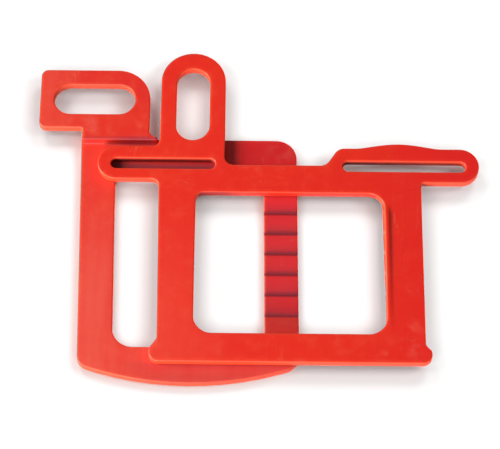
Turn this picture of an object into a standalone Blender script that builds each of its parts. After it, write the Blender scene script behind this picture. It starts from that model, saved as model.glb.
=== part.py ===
"""Frame grip for lifting comb frames: two flat moulded plates, the front one sliding on the rear one."""

import math

import bmesh
import bpy

MM = 0.001

# The object lies flat: plates in XY, thickness along Z, slide along X. All figures below are millimetres.
PLATE = 5.0               # thickness of either plate
GAP = 0.3                 # running clearance between the plates
FRONT_Z = PLATE + GAP     # underside of the front plate
TOP_Z = FRONT_Z + PLATE   # upper face of the front plate and of the raised handle
EDGE = 0.5                # moulded edge rounding
ARC_STEP = 12.0           # degrees per facet on a rounded corner
BOW_PARTS = 12            # straight pieces in each long shallow arc

# Hand holes shared by both plates
HAND_SLOT_LENGTH = 45.0
HAND_SLOT_WIDTH = 18.4

# Front plate: rectangular frame, two slotted ears, one upright loop, a small foot at each lower corner
FRONT_LEFT = -54.4        # left edge at the ear
FRONT_LEFT_LOW = -53.0    # and just above the foot
FRONT_RIGHT = 89.6
FRONT_BOTTOM = -88.6
FRONT_TOP = 28.3
LEFT_EAR = (-88.2, 19.1, 39.4)      # outer end, lower edge, upper edge
RIGHT_EAR = (121.8, 18.1, 39.1)
FRONT_WINDOW = (-33.8, 69.3, -72.0, 11.2)   # left, right, bottom, top
LOOP_X = -36.3
LOOP_HALF = 18.1
LOOP_TOP = 98.9
LOOP_SLOT_TOP = 88.6
STRAP_SLOT = 6.2          # width of the narrow slots in the ears
LEFT_SLOT = (-80.8, -23.4, 28.7)    # left end, right end, centreline
RIGHT_SLOT = (46.8, 114.3, 27.9)
CROWN = (54.5, 100.4, 2.9)  # left, right and height of the crown on the right ear
RIGHT_FOOT = (92.9, -81.6, -78.0)   # outer edge, y where its flank ends, y where it starts
LEFT_FOOT = (-56.9, -81.0, -75.5)

# Rear plate: taller frame with a bowed bottom bar and a raised handle
REAR_LEFT = -98.3         # left and right edges at the top; both lean in a little
REAR_RIGHT = 21.5
REAR_LEFT_LOW = -95.0     # and at the bottom
REAR_RIGHT_LOW = 22.8
REAR_TOP = 46.3
REAR_WINDOW = (-78.6, 3.2, -78.3, 26.5)
REAR_WINDOW_LOW = (-76.6, 4.3)      # window's left and right edges at its bottom
BOW_LOW = -98.9
BOW_RADIUS = 172.0
BOW_CORNERS = (7.0, 9.0)
NECK_RIGHT = -60.3
NECK_TOP = 51.8
RISER_Y = 43.3            # south face of the step up to the handle
RISER_RIGHT = -55.6
TIP = 1.9                 # width of the tip where the step flares to the right
HANDLE_LEFT = -121.8
HANDLE_BOTTOM = 50.6
HANDLE_TOP = 87.4
HANDLE_SLOT_X = -91.3
HANDLE_SLOT_Y = 68.6
HANDLE_ROUND = 18.3

# Finger grip across the right bar of each plate: long shallow ramps, each ending in a short steep rise
GRIP_COUNT = 6
GRIP_PITCH = 12.15
GRIP_MIDDLE = -28.7       # middle of the row of valleys
GRIP_DEPTH = 1.3
GRIP_RISE = 1.9           # length of the steep side, below each valley
GRIP_CREST = 0.4          # flat left on each crest

# Lip along the right edge of the front window
LIP_WIDTH = 1.7
LIP_HEIGHT = 0.9
LIP_TOP = 1.0
LIP_BOTTOM = -66.0
LIP_RUNOUT = 9.0

# Guide rails under the front plate, riding in rebates along the rear window
RAIL_X = (-51.5, -29.2)
RAIL_WEB = 5.6
RAIL_FOOT = 2.0
RAIL_CLEARANCE = 0.4
RAIL_BOTTOM_Z = 0.6
RAIL_FOOT_Z = 2.4
REBATE_X = (-56.0, -4.0)
REBATE_Z = 2.9
REBATE_REACH = 2.6

RED_FRONT = (0.83, 0.045, 0.02, 1.0)
RED_REAR = (0.80, 0.05, 0.03, 1.0)


def empty_scene():
    for obj in list(bpy.data.objects):
        bpy.data.objects.remove(obj, do_unlink=True)
    for old in list(bpy.data.collections):
        bpy.data.collections.remove(old)


def new_collection(name):
    made = bpy.data.collections.new(name)
    bpy.context.scene.collection.children.link(made)
    return made


def plastic(name, colour):
    mat = bpy.data.materials.new(name)
    mat.use_nodes = True
    shader = mat.node_tree.nodes["Principled BSDF"]
    shader.inputs["Base Color"].default_value = colour
    shader.inputs["Roughness"].default_value = 0.42
    shader.inputs["Metallic"].default_value = 0.0
    return mat


def rounded(corners):
    """Closed outline through (x, y, radius) corners, each turned with an arc of its radius."""
    outline = []
    for i, (x, y, radius) in enumerate(corners):
        px, py, _ = corners[i - 1]
        nx, ny, _ = corners[(i + 1) % len(corners)]
        angle_in = math.atan2(y - py, x - px)
        angle_out = math.atan2(ny - y, nx - x)
        turn = (angle_out - angle_in + math.pi) % (2.0 * math.pi) - math.pi
        if radius <= 0.0 or abs(turn) < 1e-6:
            outline.append((x, y))
            continue
        side = math.copysign(1.0, turn)
        reach = radius * math.tan(abs(turn) / 2.0)
        start_x = x - reach * math.cos(angle_in)
        start_y = y - reach * math.sin(angle_in)
        centre_x = start_x - side * radius * math.sin(angle_in)
        centre_y = start_y + side * radius * math.cos(angle_in)
        steps = max(2, math.ceil(math.degrees(abs(turn)) / ARC_STEP))
        for k in range(steps + 1):
            a = angle_in - side * math.pi / 2.0 + turn * k / steps
            outline.append((centre_x + radius * math.cos(a), centre_y + radius * math.sin(a)))
    return outline


def rectangle(left, right, bottom, top, radii):
    """Rounded rectangle, radii from the bottom left corner round to the top left one."""
    spots = ((left, bottom), (right, bottom), (right, top), (left, top))
    return rounded([(x, y, r) for (x, y), r in zip(spots, radii)])


def slot(centre_x, centre_y, length, height):
    """Slot with half-round ends along its longer side."""
    end = min(length, height) / 2.0 - 0.01
    return rectangle(centre_x - length / 2.0, centre_x + length / 2.0,
                     centre_y - height / 2.0, centre_y + height / 2.0, (end,) * 4)


def bowed_line(start, end, y, rise, parts):
    """Points of a shallow arc from start to end whose middle stands off the line y by rise."""
    half = (end - start) / 2.0
    radius = (half * half + rise * rise) / (2.0 * abs(rise))
    points = []
    for k in range(parts + 1):
        across = half * (2.0 * k / parts - 1.0)
        lift = math.sqrt(radius * radius - across * across) - (radius - abs(rise))
        points.append(((start + end) / 2.0 + across, y + math.copysign(lift, rise), 0.0))
    return points


def plate_from(name, outlines, low, high, edge, home):
    """Flat solid between two heights from an outer outline and its holes, edges rounded by edge."""
    curve = bpy.data.curves.new(name, "CURVE")
    curve.dimensions = "2D"
    curve.fill_mode = "BOTH"
    curve.extrude = ((high - low) / 2.0 - edge) * MM
    curve.bevel_depth = edge * MM
    curve.bevel_resolution = 1
    curve.offset = -edge * MM
    for outline in outlines:
        kept = [p for i, p in enumerate(outline) if math.dist(p, outline[i - 1]) > 0.05]
        spline = curve.splines.new("POLY")
        spline.points.add(len(kept) - 1)
        for point, (x, y) in zip(spline.points, kept):
            point.co = (x * MM, y * MM, 0.0, 1.0)
        spline.use_cyclic_u = True
    shape = bpy.data.objects.new(name + "_outline", curve)
    shape.location.z = (low + high) / 2.0 * MM
    home.objects.link(shape)
    bpy.context.view_layer.update()
    mesh = bpy.data.meshes.new_from_object(shape.evaluated_get(bpy.context.evaluated_depsgraph_get()))
    mesh.name = name
    weld(mesh)
    solid = bpy.data.objects.new(name, mesh)
    solid.matrix_world = shape.matrix_world.copy()
    home.objects.link(solid)
    bpy.data.objects.remove(shape, do_unlink=True)
    return solid


def weld(mesh):
    work = bmesh.new()
    work.from_mesh(mesh)
    bmesh.ops.remove_doubles(work, verts=work.verts, dist=0.000005)
    bmesh.ops.recalc_face_normals(work, faces=work.faces)
    work.to_mesh(mesh)
    work.free()


def prism_along_x(name, profile, left, right, home):
    """Solid with a (y, z) profile, running from left to right."""
    work = bmesh.new()
    ends = []
    for x in (left, right):
        ends.append([work.verts.new((x * MM, y * MM, z * MM)) for y, z in profile])
    count = len(profile)
    for i in range(count):
        j = (i + 1) % count
        work.faces.new((ends[0][i], ends[0][j], ends[1][j], ends[1][i]))
    work.faces.new(ends[0])
    work.faces.new(ends[1])
    bmesh.ops.recalc_face_normals(work, faces=work.faces)
    mesh = bpy.data.meshes.new(name)
    work.to_mesh(mesh)
    work.free()
    solid = bpy.data.objects.new(name, mesh)
    home.objects.link(solid)
    return solid


def combine(target, tool, operation):
    step = target.modifiers.new(operation.lower() + "_" + tool.name, "BOOLEAN")
    step.operation = operation
    step.solver = "EXACT"
    step.object = tool
    tool.hide_render = True
    tool.display_type = "WIRE"


def front_outline():
    loop_left = LOOP_X - LOOP_HALF
    loop_right = LOOP_X + LOOP_HALF
    far_left, left_low, left_top = LEFT_EAR
    far_right, right_low, right_top = RIGHT_EAR
    left_end = (left_top - left_low) / 2.0 - 0.01
    right_end = (right_top - right_low) / 2.0 - 0.01
    left_foot, left_foot_low, left_foot_top = LEFT_FOOT
    right_foot, right_foot_low, right_foot_top = RIGHT_FOOT
    crown_left, crown_right, crown_rise = CROWN
    corners = [
        (left_foot, FRONT_BOTTOM, 5.0),
        (right_foot, FRONT_BOTTOM, 5.2),
        (right_foot, right_foot_low, 2.8),
        (FRONT_RIGHT, right_foot_top, 2.2),
        (FRONT_RIGHT, right_low, 1.6),
        (far_right, right_low, right_end),
        (far_right, right_top, right_end),
    ]
    corners += bowed_line(crown_right, crown_left, right_top, crown_rise, BOW_PARTS)
    corners += [
        (44.4, right_top, 6.5),
        (37.4, FRONT_TOP, 6.0),
        (loop_right, FRONT_TOP, 5.0),
        (loop_right, LOOP_TOP, LOOP_HALF - 0.01),
        (loop_left, LOOP_TOP, LOOP_HALF - 0.01),
        (loop_left, left_top, 4.4),
        (far_left, left_top, left_end),
        (far_left, left_low, left_end),
        (FRONT_LEFT, left_low, 4.2),
        (FRONT_LEFT_LOW, left_foot_top, 3.4),
        (left_foot, left_foot_low, 3.0),
    ]
    return rounded(corners)


def front_holes():
    left, right, bottom, top = FRONT_WINDOW
    holes = [
        rectangle(left, right, bottom, top, (10.0, 9.8, 9.2, 4.4)),
        slot(LOOP_X, LOOP_SLOT_TOP - HAND_SLOT_LENGTH / 2.0, HAND_SLOT_WIDTH, HAND_SLOT_LENGTH),
    ]
    for start, end, y in (LEFT_SLOT, RIGHT_SLOT):
        holes.append(slot((start + end) / 2.0, y, end - start, STRAP_SLOT))
    return holes


def cut_grip(target, left, right, face, inward, home):
    """Ramped finger grip across a bar; face is the height of the surface, inward +1 or -1 into the plate."""
    first = GRIP_MIDDLE - GRIP_PITCH * (GRIP_COUNT - 1) / 2.0
    ramp = GRIP_PITCH - GRIP_RISE - GRIP_CREST
    proud = 0.3                                  # how far the cutters stand out of the face
    reach = (GRIP_DEPTH + proud) / GRIP_DEPTH
    for k in range(GRIP_COUNT):
        valley = first + GRIP_PITCH * k
        outside = face - inward * proud
        profile = ((valley - GRIP_RISE * reach, outside), (valley + ramp * reach, outside),
                   (valley, face + inward * GRIP_DEPTH))
        wedge = prism_along_x("%s_grip_%d" % (target.name, k), profile, left - 2.0, right + 2.0, home)
        combine(target, wedge, "DIFFERENCE")


def window_lip(home):
    """Raised lip on the window's right edge, sloping into the face at both ends."""
    left = FRONT_WINDOW[1] + EDGE
    work = bmesh.new()
    low = TOP_Z - 1.0
    crest = TOP_Z + LIP_HEIGHT
    stations = (
        (LIP_BOTTOM - LIP_RUNOUT, TOP_Z - 0.2),
        (LIP_BOTTOM, crest - 0.3),
        (LIP_TOP, crest),
        (LIP_TOP + LIP_RUNOUT * 0.5, TOP_Z - 0.2),
    )
    rings = []
    for y, z in stations:
        spots = ((left, low), (left + LIP_WIDTH, low), (left + LIP_WIDTH * 0.8, z), (left + 0.1, z))
        rings.append([work.verts.new((a * MM, y * MM, b * MM)) for a, b in spots])
    for first, second in zip(rings, rings[1:]):
        for i in range(4):
            j = (i + 1) % 4
            work.faces.new((first[i], first[j], second[j], second[i]))
    work.faces.new(rings[0])
    work.faces.new(rings[-1])
    bmesh.ops.recalc_face_normals(work, faces=work.faces)
    mesh = bpy.data.meshes.new("window_lip")
    work.to_mesh(mesh)
    work.free()
    lip = bpy.data.objects.new("window_lip", mesh)
    home.objects.link(lip)
    return lip


def rail_profile(edge, outward):
    """L section of a guide rail: web beside the window edge, foot reaching under it."""
    near = edge - outward * RAIL_CLEARANCE
    back = near - outward * RAIL_WEB
    tip = near + outward * RAIL_FOOT
    root = FRONT_Z + 1.0
    return ((back, root), (back, RAIL_BOTTOM_Z), (tip, RAIL_BOTTOM_Z),
            (tip, RAIL_FOOT_Z), (near, RAIL_FOOT_Z), (near, root))


def front_plate(parts, cutters):
    outlines = [front_outline()] + front_holes()
    plate = plate_from("front_frame", outlines, FRONT_Z, TOP_Z, EDGE, parts)
    combine(plate, window_lip(cutters), "UNION")
    for name, edge, outward in (("rail_upper", REAR_WINDOW[3], 1.0), ("rail_lower", REAR_WINDOW[2], -1.0)):
        rail = prism_along_x(name, rail_profile(edge, outward), RAIL_X[0], RAIL_X[1], cutters)
        combine(plate, rail, "UNION")
    cut_grip(plate, FRONT_WINDOW[1], FRONT_RIGHT, FRONT_Z, 1.0, cutters)
    plate.data.materials.append(plastic("red_plastic_front", RED_FRONT))
    return plate


def rear_outline():
    half = (REAR_RIGHT_LOW - REAR_LEFT_LOW) / 2.0
    drop = BOW_RADIUS - math.sqrt(BOW_RADIUS * BOW_RADIUS - half * half)
    corners = bowed_line(REAR_LEFT_LOW, REAR_RIGHT_LOW, BOW_LOW + drop, -drop, BOW_PARTS)
    for end, radius in zip((0, -1), BOW_CORNERS):
        x, y, _ = corners[end]
        corners[end] = (x, y, radius)
    corners += [
        (REAR_RIGHT, REAR_TOP, 11.5),
        (NECK_RIGHT, REAR_TOP, 4.6),
        (NECK_RIGHT, NECK_TOP, 0.8),
        (REAR_LEFT, NECK_TOP, 0.8),
    ]
    return rounded(corners)


def rear_window():
    left, right, bottom, top = REAR_WINDOW
    low_left, low_right = REAR_WINDOW_LOW
    return rounded([(low_left, bottom, 11.0), (low_right, bottom, 8.0), (right, top, 8.0), (left, top, 8.0)])


def handle_outline():
    """Raised neck and handle, its step standing on the top bar of the frame."""
    inset = REAR_LEFT + 0.9
    corners = [
        (inset, RISER_Y, 0.8),
        (RISER_RIGHT, RISER_Y, 0.8),
        (RISER_RIGHT, RISER_Y + TIP, 0.8),
        (NECK_RIGHT, RISER_Y + TIP, 4.0),
        (NECK_RIGHT, HANDLE_TOP, HANDLE_ROUND),
        (HANDLE_LEFT, HANDLE_TOP, 4.0),
        (HANDLE_LEFT, HANDLE_BOTTOM, 4.0),
        (inset, HANDLE_BOTTOM, 1.6),
    ]
    return rounded(corners)


def rear_plate(parts, cutters):
    _, right, bottom, top = REAR_WINDOW
    plate = plate_from("rear_frame", [rear_outline(), rear_window()], 0.0, PLATE, EDGE, parts)
    hand_slot = slot(HANDLE_SLOT_X, HANDLE_SLOT_Y, HAND_SLOT_LENGTH, HAND_SLOT_WIDTH)
    handle = plate_from("raised_handle", [handle_outline(), hand_slot], FRONT_Z, TOP_Z, EDGE, cutters)
    root = rectangle(REAR_LEFT + 1.7, NECK_RIGHT - 0.9, RISER_Y + 0.3, NECK_TOP - 1.3, (0.0,) * 4)
    neck = plate_from("neck_root", [root], PLATE / 2.0, FRONT_Z + PLATE / 2.0, 0.0, cutters)
    combine(plate, neck, "UNION")
    combine(plate, handle, "UNION")
    cut_grip(plate, right, REAR_RIGHT, PLATE, -1.0, cutters)
    for name, edge, outward in (("rebate_upper", top, 1.0), ("rebate_lower", bottom, -1.0)):
        profile = ((edge - 4.0 * outward, -1.0), (edge + REBATE_REACH * outward, -1.0),
                   (edge + REBATE_REACH * outward, REBATE_Z), (edge - 4.0 * outward, REBATE_Z))
        rebate = prism_along_x(name, profile, REBATE_X[0], REBATE_X[1], cutters)
        combine(plate, rebate, "DIFFERENCE")
    plate.data.materials.append(plastic("red_plastic_rear", RED_REAR))
    return plate


def build():
    empty_scene()
    parts = new_collection("frame_grip")
    cutters = new_collection("frame_grip_cutters")
    rear_plate(parts, cutters)
    front_plate(parts, cutters)
    cutters.hide_render = True


build()
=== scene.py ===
import math

import bpy
import numpy as np
from mathutils import Matrix, Vector
from mathutils.geometry import delaunay_2d_cdt


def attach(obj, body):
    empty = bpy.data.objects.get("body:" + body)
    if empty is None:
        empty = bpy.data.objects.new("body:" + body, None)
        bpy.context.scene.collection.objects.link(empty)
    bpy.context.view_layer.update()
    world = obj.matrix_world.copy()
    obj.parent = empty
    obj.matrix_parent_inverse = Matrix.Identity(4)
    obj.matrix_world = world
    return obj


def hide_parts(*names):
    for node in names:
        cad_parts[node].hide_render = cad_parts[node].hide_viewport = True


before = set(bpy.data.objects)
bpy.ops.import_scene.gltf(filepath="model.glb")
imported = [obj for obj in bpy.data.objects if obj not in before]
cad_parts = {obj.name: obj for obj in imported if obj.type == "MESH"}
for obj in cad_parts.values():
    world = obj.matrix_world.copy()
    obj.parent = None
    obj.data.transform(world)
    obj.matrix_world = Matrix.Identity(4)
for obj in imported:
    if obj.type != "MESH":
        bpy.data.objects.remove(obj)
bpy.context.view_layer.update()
mm = 0.001
creaseAngle = 38                 # degrees; sharper turns than this stay creased
print("frame loaded:", sorted(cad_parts))


def roundedPath(corners, closed=True, pitch=1.3):
    # Path through (x, y, radius) corners: at each corner an arc of that radius tangent to both sides,
    # centre + radius * (cos a, sin a), and straight runs cut into pieces no longer than pitch.
    pieces = []
    total = len(corners)
    for i, (x, y, radius) in enumerate(corners):
        before = np.array(corners[i - 1][:2])
        after = np.array(corners[(i + 1) % total][:2])
        here = np.array((x, y))
        angleIn = math.atan2(*(here - before)[::-1])
        angleOut = math.atan2(*(after - here)[::-1])
        turn = (angleOut - angleIn + math.pi) % (2 * math.pi) - math.pi
        if radius <= 0 or abs(turn) < 1e-6:
            pieces.append(here[None, :])
            continue
        side = math.copysign(1.0, turn)
        start = here - radius * math.tan(abs(turn) / 2) * np.array((math.cos(angleIn), math.sin(angleIn)))
        centre = start + side * radius * np.array((-math.sin(angleIn), math.cos(angleIn)))
        steps = max(4, math.ceil(abs(turn) * radius / 0.8))
        a = angleIn - side * math.pi / 2 + turn * np.linspace(0, 1, steps + 1)
        pieces.append(centre + radius * np.stack((np.cos(a), np.sin(a)), 1))
    bare = np.concatenate(pieces)
    bare = bare[np.linalg.norm(bare - np.roll(bare, 1, 0), axis=1) > 0.05]
    following = np.roll(bare, -1, 0)
    cuts = np.maximum(1, np.ceil(np.linalg.norm(following - bare, axis=1) / pitch)).astype(int)
    owner = np.repeat(np.arange(len(bare)), cuts)
    along = (np.arange(cuts.sum()) - np.repeat(np.cumsum(cuts) - cuts, cuts)) / np.repeat(cuts, cuts)
    return bare[owner] + (following - bare)[owner] * along[:, None]


def roundedBox(left, right, bottom, top, radii):
    spots = ((left, bottom), (right, bottom), (right, top), (left, top))
    return roundedPath([(x, y, r) for (x, y), r in zip(spots, radii)])


def slotPath(centreX, centreY, length, height):
    # Box with its short sides rounded to half circles.
    end = min(length, height) / 2 - 0.01
    return roundedBox(centreX - length / 2, centreX + length / 2,
                      centreY - height / 2, centreY + height / 2, (end,) * 4)


def bowedCorners(start, end, y, rise, parts):
    # Shallow arc from start to end: y + sign(rise) * (sqrt(R^2 - s^2) - (R - |rise|)), s along the chord.
    half = (end - start) / 2
    radius = (half * half + rise * rise) / (2 * abs(rise))
    s = half * np.linspace(-1, 1, parts + 1)
    lift = np.sqrt(radius * radius - s * s) - (radius - abs(rise))
    xs, ys = (start + end) / 2 + s, y + math.copysign(1, rise) * lift
    return [(float(a), float(b), 0.0) for a, b in zip(xs, ys)]


def withMarks(path, marks, axis, low, high):
    # Adds a point wherever the path crosses a mark on the given axis, if the other axis is in range.
    following = np.roll(path, -1, 0)
    a = path[:, axis][:, None]
    b = following[:, axis][:, None]
    m = np.asarray(marks)[None, :]
    other = path[:, 1 - axis][:, None]
    apart = np.minimum(abs(a - m), abs(b - m)) > 0.06
    crossing = ((a - m) * (b - m) < 0) & apart & (other > low) & (other < high)
    seg, which = np.nonzero(crossing)
    t = (m[0][which] - path[seg, axis]) / (following[seg, axis] - path[seg, axis])
    order = np.lexsort((t, seg))
    seg, t = seg[order], t[order]
    return np.insert(path, seg + 1, path[seg] + (following[seg] - path[seg]) * t[:, None], axis=0)


def insideLoops(points, loops):
    # Even-odd rule: a point is in the material if a ray to +x crosses the loops an odd number of times.
    odd = np.zeros(len(points), bool)
    x, y = points[:, 0][:, None], points[:, 1][:, None]
    for loop in loops:
        nxt = np.roll(loop, -1, 0)
        spans = (loop[:, 1][None, :] > y) != (nxt[:, 1][None, :] > y)
        rise = np.where(nxt[:, 1] == loop[:, 1], 1e-9, nxt[:, 1] - loop[:, 1])
        reach = loop[:, 0] + (y - loop[:, 1]) * (nxt[:, 0] - loop[:, 0]) / rise
        odd ^= (np.sum(spans & (x < reach), axis=1) % 2).astype(bool)
    return odd


def innerPoints(loops, spacing, extra):
    # Staggered grid over the face, kept off the rim, with the extra rows given for grips, steps and lips.
    rim = np.concatenate(loops)
    low, high = rim.min(0), rim.max(0)
    rows = np.arange(low[1], high[1], spacing * 0.87)
    cols = np.arange(low[0], high[0], spacing)
    gridX, gridY = np.meshgrid(cols, rows)
    gridX = gridX + spacing / 2 * (np.arange(len(rows)) % 2)[:, None]
    points = np.stack((gridX.ravel(), gridY.ravel()), 1)
    if len(extra):
        near = np.min(np.linalg.norm(points[:, None] - extra[None], axis=2), axis=1)
        points = np.concatenate((extra, points[near > spacing * 0.45]))
    points = points[insideLoops(points, loops)]
    away = np.min(np.linalg.norm(points[:, None] - rim[None], axis=2), axis=1)
    return points[away > 0.35]


def capTriangles(loops, inner):
    # Constrained Delaunay triangles over rim loops and inner points, only those on the material.
    flat = np.concatenate(loops + [inner])
    starts = np.cumsum([0] + [len(loop) for loop in loops])
    owner = np.repeat(starts[:-1], np.diff(starts))
    total = np.repeat(np.diff(starts), np.diff(starts))
    ids = np.arange(starts[-1])
    edges = np.stack((ids, owner + (ids - owner + 1) % total), 1).tolist()
    made = delaunay_2d_cdt([Vector(p) for p in flat], edges, [], 0, 1e-6)
    source = np.array([o[0] if o else -1 for o in made[3]])
    tris = source[np.array(made[2])]
    tris = tris[(tris >= 0).all(1)]
    tris = tris[insideLoops(flat[tris].mean(1), loops)]
    a, b, c = flat[tris[:, 0]], flat[tris[:, 1]], flat[tris[:, 2]]
    area = (b[:, 0] - a[:, 0]) * (c[:, 1] - a[:, 1]) - (b[:, 1] - a[:, 1]) * (c[:, 0] - a[:, 0])
    tris = np.where((area > 0)[:, None], tris, tris[:, ::-1])
    return tris[abs(area) > 1e-7]


def plateShell(outer, holes, topHeight, lowHeight, edge, extra, lean=None, spacing=2.3):
    # Closed plate. A section is carried along every outline: a quarter round of the edge's radius under
    # the top face, a wall that leans out by the draft to a parting line half way down, and a quarter round
    # above the bottom. lean(x, y) shifts the wall outwards, nothing at the top and all of it at the foot.
    # A ring point is outline - normal * inset, its height topHeight(x, y) - drop or lowHeight(x, y) + drop.
    quarter = np.linspace(math.pi / 2, 0, edge["steps"] + 1)
    inset = edge["draft"] + edge["radius"] * (1 - np.cos(quarter))
    drop = edge["radius"] * (1 - np.sin(quarter))
    insets = np.concatenate((inset, [edge["draft"] * 0.35, 0, edge["draft"] * 0.35], inset[::-1]))
    loops = [outer] + [hole[::-1] for hole in holes]
    points, faces, wearAndPaintedLight = [], [], []
    first = 0
    rims = {"top": [], "low": []}
    for loop in loops:
        tangent = np.roll(loop, -1, 0) - np.roll(loop, 1, 0)
        tangent /= np.linalg.norm(tangent, axis=1)[:, None]
        normal = np.stack((tangent[:, 1], -tangent[:, 0]), 1)
        ring = loop[None] - normal[None] * insets[:, None, None]
        if lean:
            down = np.linspace(0, 1, len(insets) - 2 * len(quarter) + 2)
            down = np.concatenate((np.zeros(len(quarter) - 1), down, np.ones(len(quarter) - 1)))
            ring = ring + normal[None] * (lean(loop[:, 0], loop[:, 1])[None] * down[:, None])[..., None]
        top = topHeight(ring[..., 0], ring[..., 1])
        low = lowHeight(ring[..., 0], ring[..., 1])
        n = len(quarter)
        z = np.empty(ring.shape[:2])
        z[:n] = top[:n] - drop[:, None]
        z[-n:] = low[-n:] + drop[::-1][:, None]
        wallTop, wallLow = z[n - 1], z[-n]
        z[n] = wallTop + (wallLow - wallTop) * (0.5 - edge["parting"])
        z[n + 1] = (wallTop + wallLow) / 2
        z[n + 2] = wallTop + (wallLow - wallTop) * (0.5 + edge["parting"])
        rows, count = ring.shape[:2]
        ids = first + np.arange(rows * count).reshape(rows, count)
        nextIds = np.roll(ids, -1, 1)
        faces.append(np.stack((ids[1:], nextIds[1:], nextIds[:-1], ids[:-1]), -1).reshape(-1, 4))
        points.append(np.concatenate((ring, z[..., None]), -1).reshape(-1, 3))
        # per row: column 0 is edge wear with a painted highlight along the rounded edges, column 1 is painted
        # light on the walls, rising round the top edge
        rowWearAndLight = np.zeros((rows, 2))
        rowWearAndLight[:n, 0] = np.sin(np.linspace(0.2, math.pi * 0.9, n))
        rowWearAndLight[:n, 1] = np.linspace(0, 1, n) ** 1.5
        rowWearAndLight[-n:] = rowWearAndLight[:n][::-1]
        # stronger painted highlight on the lower round, standing in for the floor's reflection
        rowWearAndLight[-n:, 0] *= 1.5
        rowWearAndLight[n:-n, 1] = 1.0
        wearAndPaintedLight.append(np.repeat(rowWearAndLight, count, axis=0))
        rims["top"].append((ids[0], ring[0]))
        rims["low"].append((ids[-1], ring[-1]))
        first += rows * count
    triangles = []
    for side, height in (("top", topHeight), ("low", lowHeight)):
        rimLoops = [spots for _, spots in rims[side]]
        inner = innerPoints(rimLoops, spacing, extra)
        tris = capTriangles(rimLoops, inner)
        lookUp = np.concatenate([ids for ids, _ in rims[side]] + [first + np.arange(len(inner))])
        tris = lookUp[tris]
        triangles.append(tris if side == "top" else tris[:, ::-1])
        points.append(np.column_stack((inner, height(inner[:, 0], inner[:, 1]))))
        wearAndPaintedLight.append(np.zeros((len(inner), 2)))
        first += len(inner)
    groups = [np.concatenate(faces), np.concatenate(triangles)]
    return np.concatenate(points), groups, np.concatenate(wearAndPaintedLight)


def sweptBar(profile, xs):
    # A closed (y, z) profile carried along x, with flat ends.
    n = len(profile)
    points = np.concatenate([np.column_stack((np.full(n, x), profile)) for x in xs])
    ids = np.arange(len(xs) * n).reshape(len(xs), n)
    nxt = np.roll(ids, -1, 1)
    quads = np.stack((ids[:-1], ids[1:], nxt[1:], nxt[:-1]), -1).reshape(-1, 4)
    return points, quads, [ids[0][::-1], ids[-1]]


def writeMesh(name, shells, attributes):
    # Joins the shells' arrays into one mesh object, in metres, smooth but creased at sharp turns.
    starts = np.cumsum([0] + [len(spots) for spots, _ in shells])
    points = np.concatenate([spots for spots, _ in shells])
    faces = []
    for start, (_, groups) in zip(starts, shells):
        for group in groups:
            faces += (np.asarray(group) + start).tolist()
    mesh = bpy.data.meshes.new(name)
    mesh.from_pydata((points * mm).tolist(), [], faces)
    for key, values in attributes(points).items():
        layer = mesh.attributes.new(key, "FLOAT", "POINT")
        layer.data.foreach_set("value", values.astype(np.float32))
    mesh.polygons.foreach_set("use_smooth", np.ones(len(mesh.polygons), bool))
    mesh.validate()
    mesh.set_sharp_from_angle(angle=math.radians(creaseAngle))
    piece = bpy.data.objects.new(name, mesh)
    bpy.context.scene.collection.objects.link(piece)
    print(name, "triangles:", sum(len(p.vertices) - 2 for p in mesh.polygons))
    return piece


def smooth(t):
    t = np.clip(t, 0, 1)
    return t * t * (3 - 2 * t)


def ramp(value, start, end):
    # 0 at start, 1 at end, smooth between; start may be the larger of the two.
    return smooth((value - start) / (end - start))


def scuffed(points, spots):
    # Each spot is (x, y, reach, strength): full strength at its middle, falling smoothly to 0 at its reach.
    x, y = points[:, 0], points[:, 1]
    return np.max([strength * ramp(np.hypot(x - midX, y - midY), reach, 0)
                   for midX, midY, reach, strength in spots], axis=0)


plates = {
    "rearTop": 5.0,
    "frontLow": 5.3,
    "frontTop": 10.3,
    "handHole": (45.0, 18.4),
}
edgeRound = {"radius": 0.6, "steps": 5, "draft": 0.07, "parting": 0.03}
grip = {"count": 6, "pitch": 12.15, "middle": -28.7, "depth": 1.3, "rise": 1.9, "crest": 0.4}
grip["ramp"] = grip["pitch"] - grip["rise"] - grip["crest"]
gripValleys = grip["middle"] + grip["pitch"] * (np.arange(grip["count"]) - (grip["count"] - 1) / 2)


def gripDepth(y):
    # Depth * (1 - distance from the valley / run), with a long run above the valley and a short one below.
    depth = np.zeros_like(y)
    for valley in gripValleys:
        above = 1 - (y - valley) / grip["ramp"]
        below = 1 - (valley - y) / grip["rise"]
        here = np.where(y >= valley, above, below)
        depth = np.maximum(depth, np.clip(here, 0, 1))
    return grip["depth"] * depth


gripRows = np.sort(np.concatenate([valley + np.array((
    -grip["rise"] - 0.15, -grip["rise"], -grip["rise"] * 0.66, -grip["rise"] * 0.33, -0.1, 0.1,
    grip["ramp"] * 0.2, grip["ramp"] * 0.45, grip["ramp"] * 0.75, grip["ramp"])) for valley in gripValleys]))


def rowsOf(xs, ys):
    # Every pair of the given x and y, row by row.
    gx, gy = np.meshgrid(xs, ys)
    return np.stack((gx.ravel(), gy.ravel()), 1)


rear = {
    "left": -98.3, "right": 21.5, "top": 46.3,        # edges at the top
    "leftLow": -95.0, "rightLow": 22.8,               # and at the bottom
    "window": (-78.6, 3.2, -78.3, 26.5),              # left, right, bottom, top
    "windowLow": (-76.6, 4.3),                        # left and right at the bottom
    "windowRounds": (11.0, 8.0, 8.0, 8.0),
    "bowLow": -98.9, "bowRadius": 172.0, "bowCorners": (7.0, 9.0), "topCorner": 11.5,
    "neckRight": -60.3, "neckTop": 51.8,
    "riserY": 43.3, "riserRight": -55.6, "tip": 1.9,
    "handle": (-121.8, 50.6, 87.4),                   # left, bottom, top
    "handleRound": 18.3,
    "handleSlot": (-91.3, 68.6),
    "rebateX": (-56.0, -4.0), "rebateDepth": 2.9, "rebateReach": 2.6,
    "neckRound": 4.6, "seamRound": 0.9, "tipRound": 0.85, "tipNeck": 4.0, "handleCorner": 4.0,
    "heelRound": 1.6,
    "fillet": 1.1,
}
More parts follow.
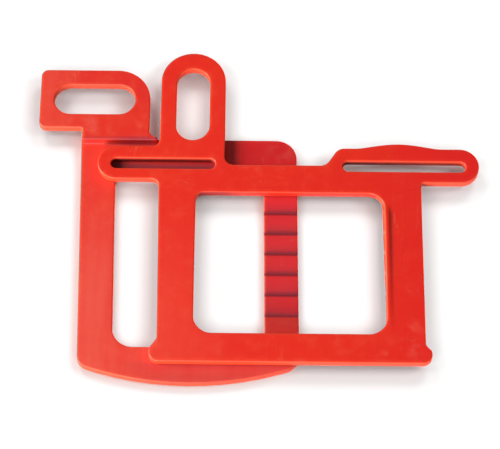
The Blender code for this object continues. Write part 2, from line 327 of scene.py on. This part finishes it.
# how the rear plate's tone varies; each span runs from where a mark starts to where it is full
rearMarks = {
    # groove valleys: dirt in each valley, painted shade fading up the ramp above it, and painted shade
    # dimming the whole bar
    "groove": {"shift": 0.45, "band": (1.5, 0.7), "dark": 0.86, "fade": (7.0, 0.0), "dim": 0.35,
               "paintedBarShade": 0.22},
    # painted shadow on the face under the left strap slot
    "underSlot": {"span": (3.4, 2.6), "dark": 0.9},
    # painted shade on the rim past the front plate's lower edge
    "bow": {"past": (-3, 0), "alongX": (-78, -44), "dull": 0.25, "near": (3.2, 0.8), "duller": 0.12,
            "red": (3.4, 1.2)},
    "leftHaze": {"alongX": (-66, -78), "alongY": (20, -50), "least": 0.25, "gain": 0.65},
    "lowHaze": {"alongY": (-70, -80), "most": 0.6},
    "handleHaze": {"alongX": (-92, -117), "most": 0.55},
    # painted shade on the top bar, darker towards the right
    "paintedShadeTop": (-62, -12),
    # painted shade on the handle's step, darker towards its right end and at its rims, with its painted edge
    # highlight and wall light turned down
    "riser": {"shade": (-84, -70), "dull": 0.2, "rims": 0.22, "shadeDark": 0.3, "wearAndPaintedLight": 0.2, "paintedWallLight": 0.1},
    "handleScuffs": ((-92, 52, 10, 1.0), (-84, 47, 8, 1.0), (-66, 49, 9, 0.7)),
    "plateScuffs": ((14, 41, 12, 0.8),),
}


def rearOutline():
    half = (rear["rightLow"] - rear["leftLow"]) / 2
    fall = rear["bowRadius"] - math.sqrt(rear["bowRadius"] ** 2 - half * half)
    corners = bowedCorners(rear["leftLow"], rear["rightLow"], rear["bowLow"] + fall, -fall, 12)
    for end, radius in zip((0, -1), rear["bowCorners"]):
        corners[end] = (*corners[end][:2], radius)
    return roundedPath(corners + [
        (rear["right"], rear["top"], rear["topCorner"]),
        (rear["neckRight"], rear["top"], rear["neckRound"]),
        (rear["neckRight"], rear["neckTop"], rear["seamRound"]),
        (rear["left"], rear["neckTop"], rear["seamRound"]),
    ])


def rearWindow():
    left, right, bottom, top = rear["window"]
    lowLeft, lowRight = rear["windowLow"]
    spots = ((lowLeft, bottom), (lowRight, bottom), (right, top), (left, top))
    return roundedPath([(x, y, r) for (x, y), r in zip(spots, rear["windowRounds"])])


def handleOutline():
    seam, tip, corner = rear["seamRound"], rear["tipRound"], rear["handleCorner"]
    inset = rear["left"] + 0.9
    left, bottom, top = rear["handle"]
    tipY = rear["riserY"] + rear["tip"]
    return roundedPath([
        (inset, rear["riserY"], seam),
        (rear["riserRight"], rear["riserY"], tip),
        (rear["riserRight"], tipY, tip),
        (rear["neckRight"], tipY, rear["tipNeck"]),
        (rear["neckRight"], top, rear["handleRound"]),
        (left, top, corner),
        (left, bottom, corner),
        (inset, bottom, rear["heelRound"]),
    ])


def rearTopHeight(x, y):
    # Flat, less the grooves on the right bar.
    onBar = (x > 0) & (y < 20)
    return plates["rearTop"] - np.where(onBar, gripDepth(y), 0)


def rearLowHeight(x, y):
    # Rebates for the guide rails: steps along the window's upper and lower edges.
    left, right = rear["rebateX"]
    _, _, bottom, top = rear["window"]
    along = (x > left) & (x < right)
    upper = (y > top - 2) & (y < top + rear["rebateReach"])
    lower = (y < bottom + 2) & (y > bottom - rear["rebateReach"])
    return np.where(along & (upper | lower), rear["rebateDepth"], 0.0)


def handleLowHeight(x, y):
    # Underside of the handle: drops into the plate under the neck.
    return plates["frontLow"] - 0.9 * (y < rear["handle"][1] - 0.3)


def rearGrimeAndShade(x, y, z, low, riser, shaded):
    # Dark tones: dirt and painted shade in the groove valleys, a painted shadow on the face under the left
    # strap slot, and painted shade on the bowed rim and on the handle's step.
    marks = rearMarks["groove"]
    onBar = (x > 0) & (x < rear["rightLow"] + 1) & (z > 2.5) & low & (y < 16)
    grimeAndPaintedShade = np.zeros(len(x))
    # dirt in each valley, with painted shade fading up the ramp above it
    for valley in gripValleys:
        away = y - valley + marks["shift"]
        band = marks["dark"] * ramp(abs(away), *marks["band"])
        fade = marks["dim"] * ramp(away, *marks["fade"]) * (away > 0)
        grimeAndPaintedShade = np.maximum(grimeAndPaintedShade, np.maximum(band, fade))
    grimeAndPaintedShade = (marks["paintedBarShade"] + grimeAndPaintedShade * (1 - marks["paintedBarShade"])) * onBar
    # painted shadow on the face under the left strap slot
    start, end, middle = front["leftSlot"]
    under = ramp(abs(y - middle), *rearMarks["underSlot"]["span"]) * (x > start - 1) * (x < end + 1)
    grimeAndPaintedShade = np.maximum(grimeAndPaintedShade, rearMarks["underSlot"]["dark"] * under * low * (z > 4.9))
    # painted shade on the rim past the front plate's lower edge, darkest right under that edge
    marks = rearMarks["bow"]
    past = front["bottom"] - y
    bow = ramp(past, *marks["past"]) * low * (z > 3.5) * ramp(x, *marks["alongX"])
    grimeAndPaintedShade = np.maximum(grimeAndPaintedShade, bow * (marks["dull"] + marks["duller"] * ramp(past, *marks["near"])))
    # painted shade on the handle's step, heavier at its rims
    marks = rearMarks["riser"]
    rims = riser & ((z < plates["rearTop"] + 1.2) | (z > plates["frontTop"] - 0.8))
    grimeAndPaintedShade = np.maximum(grimeAndPaintedShade, riser * marks["dull"] + rims * marks["rims"] + shaded * marks["shadeDark"])
    return grimeAndPaintedShade, bow * ramp(past, *rearMarks["bow"]["red"])


def rearHaze(x, y, low):
    # Pale bloom on the left bar, the bottom bar and the handle's outer end.
    left, bottom, handle = rearMarks["leftHaze"], rearMarks["lowHaze"], rearMarks["handleHaze"]
    leftBar = ramp(x, *left["alongX"]) * (left["least"] + left["gain"] * ramp(y, *left["alongY"])) * (y < 44)
    bottomBar = bottom["most"] * ramp(y, *bottom["alongY"])
    return np.where(low, np.maximum(leftBar, bottomBar), handle["most"] * ramp(x, *handle["alongX"]))


def rearAttributes(wearAndLightMasks):
    def attributes(points):
        x, y, z = points.T
        low = z < plates["rearTop"] + 0.1
        marks = rearMarks["riser"]
        riser = (y < rear["riserY"] + 1.3) & (y > rear["riserY"] - 2) & (z > plates["rearTop"] + 0.05)
        shaded = riser * ramp(x, *marks["shade"])
        grimeAndPaintedShade, underEdgeShade = rearGrimeAndShade(x, y, z, low, riser, shaded)
        scuff = np.maximum(~low * scuffed(points, rearMarks["handleScuffs"]),
                           low * scuffed(points, rearMarks["plateScuffs"]))
        # painted shade: the top bar darker towards the right, the rim under the front plate's edge, and the
        # step
        deepAndPaintedShade = np.maximum(ramp(x, *rearMarks["paintedShadeTop"]) * low * (y > -60), underEdgeShade)
        return {
            # edge wear with painted highlight, and painted wall light, both mostly turned off on the step
            "edgeWearAndHighlight": wearAndLightMasks[:, 0] * np.where(riser, marks["wearAndPaintedLight"], 1.0),
            "paintedWallLight": wearAndLightMasks[:, 1] * np.where(riser, marks["paintedWallLight"], 1.0),
            "grimeAndPaintedShade": grimeAndPaintedShade,
            "haze": rearHaze(x, y, low) * (1 - shaded),
            "scuff": scuff,
            "deepAndPaintedShade": np.maximum(deepAndPaintedShade, shaded),
        }
    return attributes


def buildRear():
    # Plate with its window, the raised handle over it, and the fillet between them, joined as one piece.
    left, right, bottom, top = rear["window"]
    gripXs = np.linspace(right + 0.7, rear["rightLow"] - 0.7, 12)
    outer = withMarks(rearOutline(), gripRows, 1, rear["right"] - 1, rear["rightLow"] + 1)
    window = withMarks(rearWindow(), gripRows, 1, right - 1, rear["windowLow"][1] + 1)
    stepX = [v + d for v in rear["rebateX"] for d in (-0.12, 0.12)]
    window = withMarks(window, stepX, 0, bottom - 1, bottom + 1)
    window = withMarks(window, stepX, 0, top - 1, top + 1)
    reach = rear["rebateReach"]
    stepRows = (top + reach - 0.1, top + reach + 0.1, bottom - reach + 0.1, bottom - reach - 0.1)
    stepLine = rowsOf(np.linspace(rear["rebateX"][0] - 0.12, rear["rebateX"][1] + 0.12, 30), stepRows)
    inward = np.linspace(1.1, reach, 3)
    stepEnds = rowsOf(stepX, np.concatenate((top + inward, bottom - inward)))
    extra = np.concatenate((rowsOf(gripXs, gripRows), stepLine, stepEnds))
    body = plateShell(outer, [window], rearTopHeight, rearLowHeight, edgeRound, extra)

    length, height = plates["handHole"]
    handLoop = slotPath(*rear["handleSlot"], length, height)
    neckRows = rowsOf(np.linspace(rear["left"] + 2.2, rear["neckRight"] - 1.5, 16),
                      (rear["handle"][1] - 0.4, rear["handle"][1] - 0.2))
    top = plates["frontTop"]
    handle = plateShell(handleOutline(), [handLoop], lambda x, y: top + 0 * x, handleLowHeight,
                        edgeRound, neckRows)
    # concave fillet where the step meets the top bar: y and z run round a quarter circle of radius r
    r = rear["fillet"]
    a = np.linspace(0, math.pi / 2, 7)
    hollow = np.column_stack((rear["riserY"] - r + r * np.sin(a), plates["rearTop"] + r - r * np.cos(a)))
    hollow = np.concatenate((hollow, [(rear["riserY"] + 0.5, plates["rearTop"] + r),
                                      (rear["riserY"] + 0.5, plates["rearTop"] - 0.5),
                                      (rear["riserY"] - r, plates["rearTop"] - 0.5)]))
    fillet = sweptBar(hollow, np.linspace(rear["left"] + 1.6, rear["riserRight"] - 0.7, 12))
    shells = [(body[0], body[1]), (handle[0], handle[1]), (fillet[0], [fillet[1], fillet[2]])]
    wearAndPaintedLight = np.concatenate((body[2], handle[2], np.zeros((len(fillet[0]), 2))))
    return writeMesh("rearPlate", shells, rearAttributes(wearAndPaintedLight))


front = {
    "left": -54.4, "leftLow": -53.0, "right": 89.6, "bottom": -88.6, "top": 28.3,
    "leftEar": (-88.2, 19.1, 39.4), "rightEar": (121.8, 18.1, 39.1),      # outer end, lower edge, upper edge
    "window": (-33.8, 69.3, -72.0, 11.2),
    "windowRounds": (10.0, 9.8, 9.2, 4.4),
    "loopX": -36.3, "loopHalf": 18.1, "loopTop": 98.9, "loopSlotTop": 88.6,
    "strapSlot": 6.2, "leftSlot": (-80.8, -23.4, 28.7), "rightSlot": (46.8, 114.3, 27.9),
    "crown": (54.5, 100.4, 2.9),
    "rightFoot": (92.9, -81.6, -78.0),        # outer edge, flank's end and start
    "leftFoot": (-56.9, -81.0, -75.5),
    "bay": (37.4, 44.4),                      # slope up from the top edge to the right ear
    "rounds": {"leftHeel": 5.0, "rightHeel": 5.2, "rightFlank": 2.8, "rightInstep": 2.2, "rightPit": 1.6,
               "bayTop": 6.5, "bayFoot": 6.0, "loopRight": 5.0, "loopLeft": 4.4, "leftPit": 4.2,
               "leftInstep": 3.4, "leftFlank": 3.0},
    "lip": {"width": 1.5, "height": 0.9, "fall": 2.5, "top": 1.0, "bottom": -66.0, "runout": 9.0,
            "topRun": 4.0, "least": 0.3, "taper": (-70, 0)},
    "lean": {"most": 1.1, "corner": 2.5, "ends": (14, 7), "least": 0.35, "taper": (-65, -5)},
    "railX": (-51.5, -29.2), "railWeb": 5.6, "railFoot": 2.0, "railFootZ": 2.4, "railLow": 0.6,
    "clearance": 0.4,
}
frontMarks = {
    "scuffs": ((84, -68, 7, 1.0), (82, -80, 9, 1.0), (68, -82, 8, 0.8), (45, -77, 9, 0.5)),
    "haze": {"alongX": (5, -55), "alongY": (30, -80), "most": 0.55},
    # painted shade inside the strap slots and on the window's upper wall
    "slots": {"dark": 0.92, "fall": {"leftSlot": 0.15, "rightSlot": 0.5}, "under": (0.4, 1.2)},
    "upperWallShade": {"dull": 0.8, "dark": 0.12, "darker": 0.5, "alongX": (-6, -20)},
    # painted shade, darker towards the right
    "paintedShadeRight": (40, 110),
}


def frontOutline():
    f = front
    farLeft, leftLow, leftTop = f["leftEar"]
    farRight, rightLow, rightTop = f["rightEar"]
    leftEnd, rightEnd = (leftTop - leftLow) / 2 - 0.01, (rightTop - rightLow) / 2 - 0.01
    loopLeft, loopRight = f["loopX"] - f["loopHalf"], f["loopX"] + f["loopHalf"]
    crownLeft, crownRight, crownRise = f["crown"]
    leftFoot, leftFootLow, leftFootTop = f["leftFoot"]
    rightFoot, rightFootLow, rightFootTop = f["rightFoot"]
    bayLeft, bayRight = f["bay"]
    rounds = f["rounds"]
    loopRound = f["loopHalf"] - 0.01
    return roundedPath([
        (leftFoot, f["bottom"], rounds["leftHeel"]),
        (rightFoot, f["bottom"], rounds["rightHeel"]),
        (rightFoot, rightFootLow, rounds["rightFlank"]),
        (f["right"], rightFootTop, rounds["rightInstep"]),
        (f["right"], rightLow, rounds["rightPit"]),
        (farRight, rightLow, rightEnd),
        (farRight, rightTop, rightEnd),
        *crownBlend(crownRight, crownLeft, rightTop, crownRise),
        (bayRight, rightTop, rounds["bayTop"]),
        (bayLeft, f["top"], rounds["bayFoot"]),
        (loopRight, f["top"], rounds["loopRight"]),
        (loopRight, f["loopTop"], loopRound),
        (loopLeft, f["loopTop"], loopRound),
        (loopLeft, leftTop, rounds["loopLeft"]),
        (farLeft, leftTop, leftEnd),
        (farLeft, leftLow, leftEnd),
        (f["left"], leftLow, rounds["leftPit"]),
        (f["leftLow"], leftFootTop, rounds["leftInstep"]),
        (leftFoot, leftFootLow, rounds["leftFlank"]),
    ])


def crownBlend(start, end, y, rise):
    # Crown on the ear: y + rise * sin(pi u)^1.35, which leaves the ear's edge without a corner.
    u = np.linspace(0, 1, 25)
    return [(float(a), float(b), 0.0) for a, b in
            zip(start + (end - start) * u, y + rise * np.clip(np.sin(math.pi * u), 0, 1) ** 1.35)]


def frontTopHeight(x, y):
    # Lip along the window's right edge: full height at the edge, gone a lip width and a fall away,
    # tapered at both ends and lower towards the bottom.
    lip = front["lip"]
    edgeX = front["window"][1]
    crest = edgeX + lip["width"]
    across = ramp(x, crest + lip["fall"], crest)
    along = ramp(y, lip["bottom"] - lip["runout"], lip["bottom"] + lip["runout"])
    along = along * ramp(y, lip["top"] + lip["topRun"], lip["top"] - lip["topRun"])
    taper = lip["least"] + (1 - lip["least"]) * ramp(y, *lip["taper"])
    return plates["frontTop"] + np.where(x > edgeX - 1, lip["height"] * across * along * taper, 0)


def windowLean(x, y):
    # The window's right wall leans into the window towards its foot, more at its upper end.
    lean = front["lean"]
    _, edgeX, bottom, top = front["window"]
    upright = ramp(x, edgeX - lean["corner"], edgeX) * (x < edgeX + 0.5)
    span = ramp(y, bottom, bottom + lean["ends"][0]) * ramp(y, top, top - lean["ends"][1])
    return lean["most"] * upright * span * (lean["least"] + (1 - lean["least"]) * ramp(y, *lean["taper"]))


def frontLowHeight(x, y):
    # Flat underside, with the same grooves cut up into the right bar.
    onBar = (x > 60) & (y < 14)
    return plates["frontLow"] + np.where(onBar, gripDepth(y), 0)


def railSection(edge, outward):
    # L section: web beside the window's edge, foot reaching under it.
    near = edge - outward * front["clearance"]
    back = near - outward * front["railWeb"]
    tip = near + outward * front["railFoot"]
    root = plates["frontLow"] + 1.0
    low, foot = front["railLow"], front["railFootZ"]
    corners = [(back, root, 0), (back, low, 0.5), (tip, low, 0.4),
               (tip, foot, 0.4), (near, foot, 0.25), (near, root, 0)]
    if outward > 0:
        return roundedPath(corners, pitch=2.5)
    return roundedPath(corners[::-1], pitch=2.5)


def frontPaintedShade(x, y, z, wallLightMask):
    # Painted shade inside the strap slots, and on the window's upper wall, darkest at its left end, where the
    # painted wall light is also turned down.
    marks = frontMarks["slots"]
    grimeAndPaintedShade = np.zeros(len(x))
    # painted shade inside each strap slot, darkest at its left end
    for slot, fall in marks["fall"].items():
        start, end, middle = front[slot]
        inside = (x > start - 0.3) & (x < end + 0.3) & (abs(y - middle) < front["strapSlot"] / 2 + 0.3)
        dusk = marks["dark"] * (1 - fall * ramp(x, start, end))
        under, full = (plates["frontTop"] - depth for depth in marks["under"])
        grimeAndPaintedShade = np.maximum(grimeAndPaintedShade, inside * dusk * ramp(z, under, full))
    marks = frontMarks["upperWallShade"]
    left, right, _, top = front["window"]
    upper = (abs(y - top) < 1.2) * (x > left - 1) * (x < right + 1) * wallLightMask
    grimeAndPaintedShade = np.maximum(grimeAndPaintedShade, upper * (marks["dark"] + marks["darker"] * ramp(x, *marks["alongX"])))
    return grimeAndPaintedShade, wallLightMask - marks["dull"] * upper


def frontAttributes(wearAndLightMasks):
    def attributes(points):
        x, y, z = points.T
        up = z > plates["frontLow"] + 3
        haze = frontMarks["haze"]
        grimeAndPaintedShade, paintedWallLight = frontPaintedShade(x, y, z, wearAndLightMasks[:, 1])
        return {
            "edgeWearAndHighlight": wearAndLightMasks[:, 0],
            "paintedWallLight": paintedWallLight,
            "grimeAndPaintedShade": grimeAndPaintedShade,
            "haze": haze["most"] * ramp(x, *haze["alongX"]) * ramp(y, *haze["alongY"]),
            "scuff": scuffed(points, frontMarks["scuffs"]) * up,
            # painted shade, darker towards the right
            "deepAndPaintedShade": ramp(x, *frontMarks["paintedShadeRight"]),
        }
    return attributes


def buildFront():
    # Plate with its window, loop and strap slots, and the two guide rails, joined as one piece.
    f = front
    left, right, bottom, top = f["window"]
    window = roundedBox(left, right, bottom, top, f["windowRounds"])
    window = withMarks(window, gripRows, 1, right - 1, right + 1)
    outer = withMarks(frontOutline(), gripRows, 1, f["right"] - 1, f["right"] + 1)
    length, height = plates["handHole"]
    loopHole = slotPath(f["loopX"], f["loopSlotTop"] - length / 2, height, length)
    straps = [slotPath((start + end) / 2, y, end - start, f["strapSlot"])
              for start, end, y in (f["leftSlot"], f["rightSlot"])]
    lipXs = right + f["lip"]["width"] + np.array((-0.4, 0.0, 0.5, 1.0, 1.5, 2.0, 2.55))
    lipYs = np.arange(f["lip"]["bottom"] - f["lip"]["runout"], f["lip"]["top"] + 6, 1.4)
    gripXs = np.linspace(right + 5.0, f["right"] - 1.1, 8)
    extra = np.concatenate((rowsOf(gripXs, gripRows), rowsOf(lipXs, lipYs)))
    holes = [window, loopHole, *straps]
    body = plateShell(outer, holes, frontTopHeight, frontLowHeight, edgeRound, extra, windowLean)
    shells = [(body[0], body[1])]
    wearAndPaintedLight = [body[2]]
    for edge, outward in ((rear["window"][3], 1), (rear["window"][2], -1)):
        rail = sweptBar(railSection(edge, outward), np.linspace(*f["railX"], 8))
        shells.append((rail[0], [rail[1], rail[2]]))
        wearAndPaintedLight.append(np.zeros((len(rail[0]), 2)))
    return writeMesh("frontPlate", shells, frontAttributes(np.concatenate(wearAndPaintedLight)))


class Wire:
    # A shader socket that takes part in ordinary sums.
    def __init__(self, graph, socket):
        self.graph = graph
        self.socket = socket

    def sum(self, kind, a, b):
        return self.graph.node("ShaderNodeMath", {"operation": kind}, {0: a, 1: b})

    def __add__(self, other):
        return self.sum("ADD", self, other)

    def __radd__(self, other):
        return self.sum("ADD", other, self)

    def __sub__(self, other):
        return self.sum("SUBTRACT", self, other)

    def __rsub__(self, other):
        return self.sum("SUBTRACT", other, self)

    def __mul__(self, other):
        return self.sum("MULTIPLY", self, other)

    def __rmul__(self, other):
        return self.sum("MULTIPLY", other, self)

    def __truediv__(self, other):
        return self.sum("DIVIDE", self, other)

    def __abs__(self):
        return self.sum("ABSOLUTE", self, 0.0)

    def clamp(self):
        return self.graph.node("ShaderNodeClamp", {}, {0: self})

    def steep(self, low, high):
        # 0 below low, 1 above high
        return self.graph.node("ShaderNodeMapRange", {"interpolation_type": "SMOOTHSTEP"},
                               {"Value": self, "From Min": low, "From Max": high})


class Graph:
    def __init__(self, name):
        self.material = bpy.data.materials.new(name)
        self.material.use_nodes = True
        self.tree = self.material.node_tree
        self.shader = self.tree.nodes["Principled BSDF"]

    def node(self, kind, settings, sockets, out=0):
        made = self.tree.nodes.new(kind)
        for key, value in settings.items():
            setattr(made, key, value)
        for key, value in sockets.items():
            self.feed(made.inputs[key], value)
        return Wire(self, made.outputs[out])

    def feed(self, target, value):
        if isinstance(value, Wire):
            self.tree.links.new(value.socket, target)
        else:
            target.default_value = value

    def mix(self, factor, a, b):
        made = self.tree.nodes.new("ShaderNodeMix")
        made.data_type = "RGBA"
        self.feed(made.inputs["Factor"], factor)
        self.feed(made.inputs[6], a)
        self.feed(made.inputs[7], b)
        return Wire(self, made.outputs[2])

    def noise(self, place, scale, detail=3.0, rough=0.5):
        return self.node("ShaderNodeTexNoise", {}, {"Vector": place, "Scale": scale, "Detail": detail,
                                                    "Roughness": rough}, "Fac")

    def stretched(self, place, scale, turn=0.0):
        return self.node("ShaderNodeMapping", {}, {"Vector": place, "Rotation": (0, 0, turn), "Scale": scale})

    def attribute(self, name):
        return self.node("ShaderNodeAttribute", {"attribute_name": name}, {}, "Fac")


# deep also serves painted shade, wear is edge wear with a painted highlight, wall is painted light on the
# walls, grime is dirt and painted shade
plastic = {
    "rear": {
        "base": (0.615, 0.024, 0.006, 1), "deepAndPaintedShade": (0.56, 0.006, 0.010, 1), "pale": (0.63, 0.076, 0.044, 1),
        "wearAndPaintedLight": (0.84, 0.105, 0.045, 1), "paintedWallLight": (0.82, 0.070, 0.020, 1), "grimeAndPaintedShade": (0.20, 0.014, 0.026, 1),
        "rough": 0.46,
    },
    "front": {
        "base": (0.64, 0.019, 0.003, 1), "deepAndPaintedShade": (0.60, 0.007, 0.005, 1), "pale": (0.66, 0.062, 0.034, 1),
        "wearAndPaintedLight": (0.84, 0.095, 0.035, 1), "paintedWallLight": (0.82, 0.064, 0.018, 1), "grimeAndPaintedShade": (0.13, 0.002, 0.010, 1),
        "rough": 0.43,
    },
}


# scales of the patterns, in waves per metre
skin = {
    "broad": 16.0, "mottle": 130.0, "grain": 2600.0, "ripple": 60.0, "broken": 75.0, "worn": 40.0,
    "streak": (210.0, 12.0, 60.0), "scratchA": (34.0, 420.0, 90.0), "scratchB": (300.0, 26.0, 90.0),
    "turnA": 0.35, "turnB": -0.22,
    "bump": 0.16, "bumpDepth": 0.0009, "ior": 1.49, "specular": 0.45,
}


def mouldedPlastic(name, look):
    g = Graph(name)
    place = g.node("ShaderNodeTexCoord", {}, {}, "Object")
    broad = g.noise(place, skin["broad"], 2.0)                          # tone drifting over the whole plate
    mottle = g.noise(place, skin["mottle"], 4.0, 0.6)                   # flow marks, a few millimetres across
    streak = g.noise(g.stretched(place, skin["streak"]), 1.0, 3.0)      # drag lines along the bars
    grain = g.noise(place, skin["grain"], 2.0)                          # spark-eroded mould skin
    ripple = g.noise(place, skin["ripple"], 2.0)                        # shallow sink marks
    scratchA = abs(g.noise(g.stretched(place, skin["scratchA"], skin["turnA"]), 1.0, 1.5) - 0.5)
    scratchB = abs(g.noise(g.stretched(place, skin["scratchB"], skin["turnB"]), 1.0, 1.5) - 0.5)
    broken = g.noise(place, skin["broken"], 2.0).steep(0.52, 0.62)
    scratch = (1.0 - scratchA.steep(0.002, 0.010)) * broken
    scratch = scratch + (1.0 - scratchB.steep(0.002, 0.009)) * (1.0 - broken)
    scratch = (scratch * g.noise(place, skin["worn"], 1.0).steep(0.50, 0.66)).clamp()
    edge = g.attribute("edgeWearAndHighlight")
    grimeAndPaintedShade = g.attribute("grimeAndPaintedShade") * (0.72 + mottle * 0.5)
    haze = g.attribute("haze") * (0.2 + streak * 1.3)
    scuff = (g.attribute("scuff") * mottle.steep(0.42, 0.62)).clamp()

    tone = (broad.steep(0.35, 0.65) * 0.5 + mottle.steep(0.35, 0.65) * 0.3 + streak * 0.2).clamp()
    colour = g.mix(tone * 0.9, look["deepAndPaintedShade"], look["base"])
    colour = g.mix(0.35, colour, look["base"])
    colour = g.mix((mottle.steep(0.5, 0.75) * 0.2).clamp(), colour, look["pale"])
    # painted shade from the deep attribute
    colour = g.mix((g.attribute("deepAndPaintedShade") * 0.85).clamp(), colour, look["deepAndPaintedShade"])
    colour = g.mix((haze * 0.7).clamp(), colour, look["pale"])
    colour = g.mix((scuff * 0.42 + scratch * 0.35).clamp(), colour, look["pale"])
    # edge wear with a painted highlight along the rounded edges
    colour = g.mix((edge * (0.25 + mottle * 0.5)).clamp(), colour, look["wearAndPaintedLight"])
    # painted light on the walls
    colour = g.mix(g.attribute("paintedWallLight") * (0.8 + mottle * 0.2), colour, look["paintedWallLight"])
    # dirt and painted shade from the grime attribute
    colour = g.mix(grimeAndPaintedShade.clamp(), colour, look["grimeAndPaintedShade"])
    rough = look["rough"] + (mottle - 0.5) * 0.12 + scuff * 0.16 + scratch * 0.15
    rough = rough + haze * 0.10 - edge * 0.06 + grimeAndPaintedShade * 0.2
    relief = grain * 0.10 + ripple * 1.1 + mottle * 0.16 - scratch * 0.35 + streak * 0.12
    bump = g.node("ShaderNodeBump", {}, {"Height": relief, "Strength": skin["bump"],
                                         "Distance": skin["bumpDepth"]})
    g.feed(g.shader.inputs["Base Color"], colour)
    g.feed(g.shader.inputs["Roughness"], rough.clamp())
    g.feed(g.shader.inputs["Normal"], bump)
    g.shader.inputs["IOR"].default_value = skin["ior"]
    g.shader.inputs["Specular IOR Level"].default_value = skin["specular"]
    return g.material


rearPlate = buildRear()
rearPlate.data.materials.append(mouldedPlastic("redPlasticRear", plastic["rear"]))
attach(rearPlate, "rear")
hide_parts("rear_frame")
print("rear plate done")

frontPlate = buildFront()
frontPlate.data.materials.append(mouldedPlastic("redPlasticFront", plastic["front"]))
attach(frontPlate, "front")
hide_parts("front_frame")
print("front plate done")


studio = {
    "floorColour": (0.58, 0.94, 0.94, 1), "floorFar": (0.90, 0.94, 0.94, 1), "floorBlend": (0.35, 2.2),
    "sky": 0.22,
    # two soft lamps for the plates only, so the pale floor keeps an even tone
    "key": {"turn": 186.0, "rise": 30.0, "distance": 2.6, "size": 1.6, "power": 126.0},
    "front": {"turn": 250.0, "rise": 13.0, "distance": 2.4, "size": 0.8, "power": 62.0},
    "ring": {"distance": 1.3, "rise": 43.0, "size": 0.6, "colour": (1.0, 0.58, 0.58),
             "power": (9.3, 8.6, 8.0, 6.2, 4.9, 5.5)},    # from the right, anticlockwise, 60 degrees apart
}
view = {"target": (-0.00394, -0.00557, 0.0045), "elevation": 64.02, "azimuth": -0.10, "roll": 0.63,
        "distance": 1.1279, "lens": 148.9}


def buildFloor():
    # Flat sheet: x and y over a square grid, z = 0.
    side = np.linspace(-3.0, 3.0, 13)
    gx, gy = np.meshgrid(side, side)
    spots = np.stack((gx.ravel(), gy.ravel(), np.zeros(gx.size)), 1)
    ids = np.arange(gx.size).reshape(gx.shape)
    quads = np.stack((ids[:-1, :-1], ids[:-1, 1:], ids[1:, 1:], ids[1:, :-1]), -1).reshape(-1, 4)
    mesh = bpy.data.meshes.new("floor")
    mesh.from_pydata(spots.tolist(), [], quads.tolist())
    floor = bpy.data.objects.new("floor", mesh)
    bpy.context.scene.collection.objects.link(floor)
    g = Graph("paleFloor")
    place = g.node("ShaderNodeTexCoord", {}, {}, "Object")
    # cooler under the warm ring lamps, so that red light thrown by the plates reads as a grey shadow
    reach = g.node("ShaderNodeVectorMath", {"operation": "LENGTH"}, {0: place}, "Value")
    reach = reach.steep(*studio["floorBlend"])
    g.feed(g.shader.inputs["Base Color"], g.mix(reach, studio["floorColour"], studio["floorFar"]))
    g.shader.inputs["Roughness"].default_value = 0.85
    g.shader.inputs["Specular IOR Level"].default_value = 0.1
    mesh.materials.append(g.material)
    return floor


def areaLight(name, turn, setting, power, receivers):
    # Disk light aimed at the origin from distance * (cos rise cos turn, cos rise sin turn, sin rise).
    light = bpy.data.lights.new(name, "AREA")
    light.shape = "DISK"
    light.size = setting["size"]
    light.energy = power
    light.color = setting.get("colour", (1, 1, 1))
    lamp = bpy.data.objects.new(name, light)
    turn, rise = math.radians(turn), math.radians(setting["rise"])
    place = setting["distance"] * Vector((
        math.cos(rise) * math.cos(turn), math.cos(rise) * math.sin(turn), math.sin(rise)))
    lamp.matrix_world = Matrix.Translation(place) @ (-place).to_track_quat("-Z", "Y").to_matrix().to_4x4()
    lit = bpy.data.collections.new(name + "Receivers")
    for receiver in receivers:
        lit.objects.link(receiver)
    lamp.light_linking.receiver_collection = lit
    bpy.context.scene.collection.objects.link(lamp)


def buildCamera():
    up, side, roll = (math.radians(view[k]) for k in ("elevation", "azimuth", "roll"))
    back = Vector((math.sin(side) * math.cos(up), -math.cos(side) * math.cos(up), math.sin(up)))
    right = Vector((0, 0, 1)).cross(back).normalized()
    over = back.cross(right)
    turnedRight = math.cos(roll) * right + math.sin(roll) * over
    turnedUp = -math.sin(roll) * right + math.cos(roll) * over
    data = bpy.data.cameras.new("camera")
    data.lens = view["lens"]
    data.sensor_width = 36.0
    data.clip_end = 20.0
    camera = bpy.data.objects.new("camera", data)
    camera.matrix_world = (Matrix.Translation(Vector(view["target"]) + view["distance"] * back)
                           @ Matrix((turnedRight, turnedUp, back)).transposed().to_4x4())
    bpy.context.scene.collection.objects.link(camera)
    bpy.context.scene.camera = camera


floor = buildFloor()
for name in ("key", "front"):
    lamp = studio[name]
    areaLight(name + "Light", lamp["turn"], lamp, lamp["power"], [rearPlate, frontPlate])
for i, power in enumerate(studio["ring"]["power"]):
    areaLight(f"ringLight{i}", 60 * i, studio["ring"], power, [floor])
world = bpy.data.worlds.new("studioSky")
world.use_nodes = True
world.node_tree.nodes["Background"].inputs["Color"].default_value = (1, 1, 1, 1)
world.node_tree.nodes["Background"].inputs["Strength"].default_value = studio["sky"]
bpy.context.scene.world = world
bpy.context.scene.view_settings.view_transform = "Standard"
buildCamera()
print("studio done")
